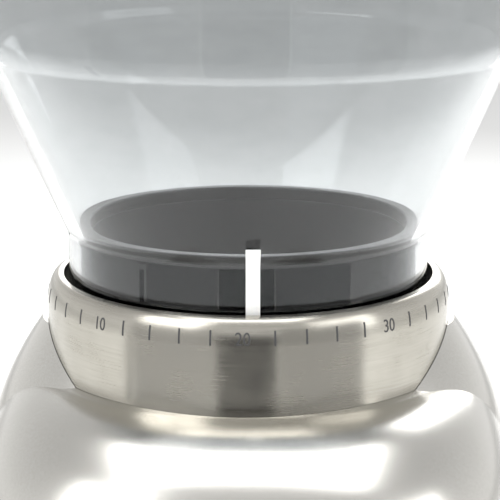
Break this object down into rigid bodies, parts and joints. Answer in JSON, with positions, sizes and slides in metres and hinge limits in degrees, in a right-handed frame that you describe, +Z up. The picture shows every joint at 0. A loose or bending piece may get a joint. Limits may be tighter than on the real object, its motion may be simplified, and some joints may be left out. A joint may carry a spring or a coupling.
{
  "type": "burr coffee grinder",
  "caption": "Upright conical burr grinder with a clear tapered hopper on a printed dial collar, metal top housing, motor column and sliding grounds bin.",
  "frame": {"origin": "on the standing surface, midway between the sides, the front and the back", "axes": "+Z up along the grinding axis, -Y towards the user, +X to the right seen from the front"},
  "size_m": [0.12, 0.16, 0.35],
  "materials": {
    "brushed_collar": "brushed",
    "polished_housing": "satin polished",
    "clear_hopper": "gloss clear plastic",
    "smoked_plastic": "gloss smoked plastic",
    "black_plastic": "fine moulded",
    "gloss_black": "gloss moulded",
    "grey_plastic": "fine moulded",
    "white_plastic": "gloss moulded",
    "natural_plastic": "moulded acetal",
    "black_rubber": "matte",
    "seal_rubber": "smooth",
    "burr_steel": "ground",
    "bright_steel": "bright",
    "plated_steel": "zinc plated",
    "painted_base": "satin",
    "ballast_iron": "as cast",
    "bronze": "sintered",
    "copper_wire": "enamelled wire",
    "magnet": "sintered ferrite",
    "circuit_green": "solder resist"
  },
  "bodies": {
    "body": {"feet": "black_rubber", "base_plate": "black_plastic", "base_screws": "plated_steel", "base_shell": "painted_base", "ballast_plate": "ballast_iron", "bin_mat": "black_rubber", "rear_housing": "black_plastic", "bay_panel": "gloss_black", "cord_gland": "black_rubber", "circuit_board": "circuit_green", "thermal_cutout": "plated_steel", "timer_body": "natural_plastic", "pulse_switch": "black_plastic", "button_spring": "bright_steel", "head_tray": "black_plastic", "head_shell": "black_plastic", "top_housing": "polished_housing", "dial_collar": "brushed_collar", "gearbox_case": "grey_plastic", "gearbox_cover": "grey_plastic", "gearbox_screws": "plated_steel", "lower_bearing": "bronze", "upper_bearing": "bronze", "intermediate_axle": "bright_steel", "grind_chamber": "grey_plastic", "grounds_chute": "black_plastic", "carrier_springs": "bright_steel", "motor_can": "plated_steel", "motor_end_caps": "plated_steel", "motor_bushes": "bronze", "motor_magnets": "magnet", "carbon_brushes": "magnet", "motor_damper": "black_rubber"},
    "adjuster": {"adjustment_ring": "black_plastic"},
    "carrier": {"burr_carrier": "black_plastic", "ring_burr": "burr_steel"},
    "hopper": {"hopper_bowl": "clear_hopper", "hopper_insert": "black_plastic", "hopper_seal": "seal_rubber", "grind_pointer": "white_plastic"},
    "lid": {"lid": "smoked_plastic", "lid_knob": "black_plastic", "lid_seal": "seal_rubber"},
    "main_drive": {"main_shaft": "bright_steel", "main_gear": "natural_plastic", "paddle_wheel": "natural_plastic", "cone_burr": "burr_steel", "burr_nut": "bright_steel"},
    "intermediate_drive": {"intermediate_gear": "natural_plastic"},
    "rotor": {"rotor_shaft": "bright_steel", "motor_pinion": "bronze", "rotor_core": "magnet", "rotor_windings": "copper_wire", "commutator": "copper_wire", "cooling_fan": "black_plastic"},
    "knob": {"timer_knob": "black_plastic", "timer_shaft": "bright_steel"},
    "button": {"pulse_button": "painted_base"},
    "bin": {"grounds_bin": "smoked_plastic"}
  },
  "joints": [
    {"name": "grind_setting", "type": "hinge", "parent": "body", "child": "adjuster", "pos_m": [0, -0.012, 0.21], "axis": [0, 0, 1], "range_deg": [-87.8, 82.2]},
    {"name": "burr_lift", "type": "slide", "parent": "body", "child": "carrier", "axis": [0, 0, 1], "range_m": [-0.0009, 0.0009], "deforming": ["carrier_springs"]},
    {"name": "hopper_lift_off", "type": "slide", "parent": "adjuster", "child": "hopper", "axis": [0, 0, 1], "range_m": [0, 0.09]},
    {"name": "lid_lift_off", "type": "slide", "parent": "hopper", "child": "lid", "axis": [0, 0, 1], "range_m": [0, 0.06]},
    {"name": "main_shaft_spin", "type": "hinge", "parent": "body", "child": "main_drive", "pos_m": [0, -0.012, 0.18], "axis": [0, 0, 1], "continuous": true},
    {"name": "intermediate_spin", "type": "hinge", "parent": "body", "child": "intermediate_drive", "pos_m": [0.01422, 0.01667, 0.165], "axis": [0, 0, 1], "continuous": true},
    {"name": "rotor_spin", "type": "hinge", "parent": "body", "child": "rotor", "pos_m": [0, 0.036, 0.11], "axis": [0, 0, 1], "continuous": true},
    {"name": "timer_turn", "type": "hinge", "parent": "body", "child": "knob", "pos_m": [0.05, 0.024, 0.096], "axis": [1, 0, 0], "range_deg": [-300, 0]},
    {"name": "pulse_press", "type": "slide", "parent": "body", "child": "button", "axis": [0, 1, 0], "range_m": [0, 0.003], "stiffness_N_per_m": 400, "deforming": ["button_spring"]},
    {"name": "bin_slide", "type": "slide", "parent": "body", "child": "bin", "axis": [0, -1, 0], "range_m": [0, 0.13]}
  ],
  "couplings": [
    {"joint": "burr_lift", "follows": "grind_setting", "m_per_rad": 0.00052206},
    {"joint": "intermediate_spin", "follows": "main_shaft_spin", "ratio": -3},
    {"joint": "rotor_spin", "follows": "main_shaft_spin", "ratio": 9}
  ]
}
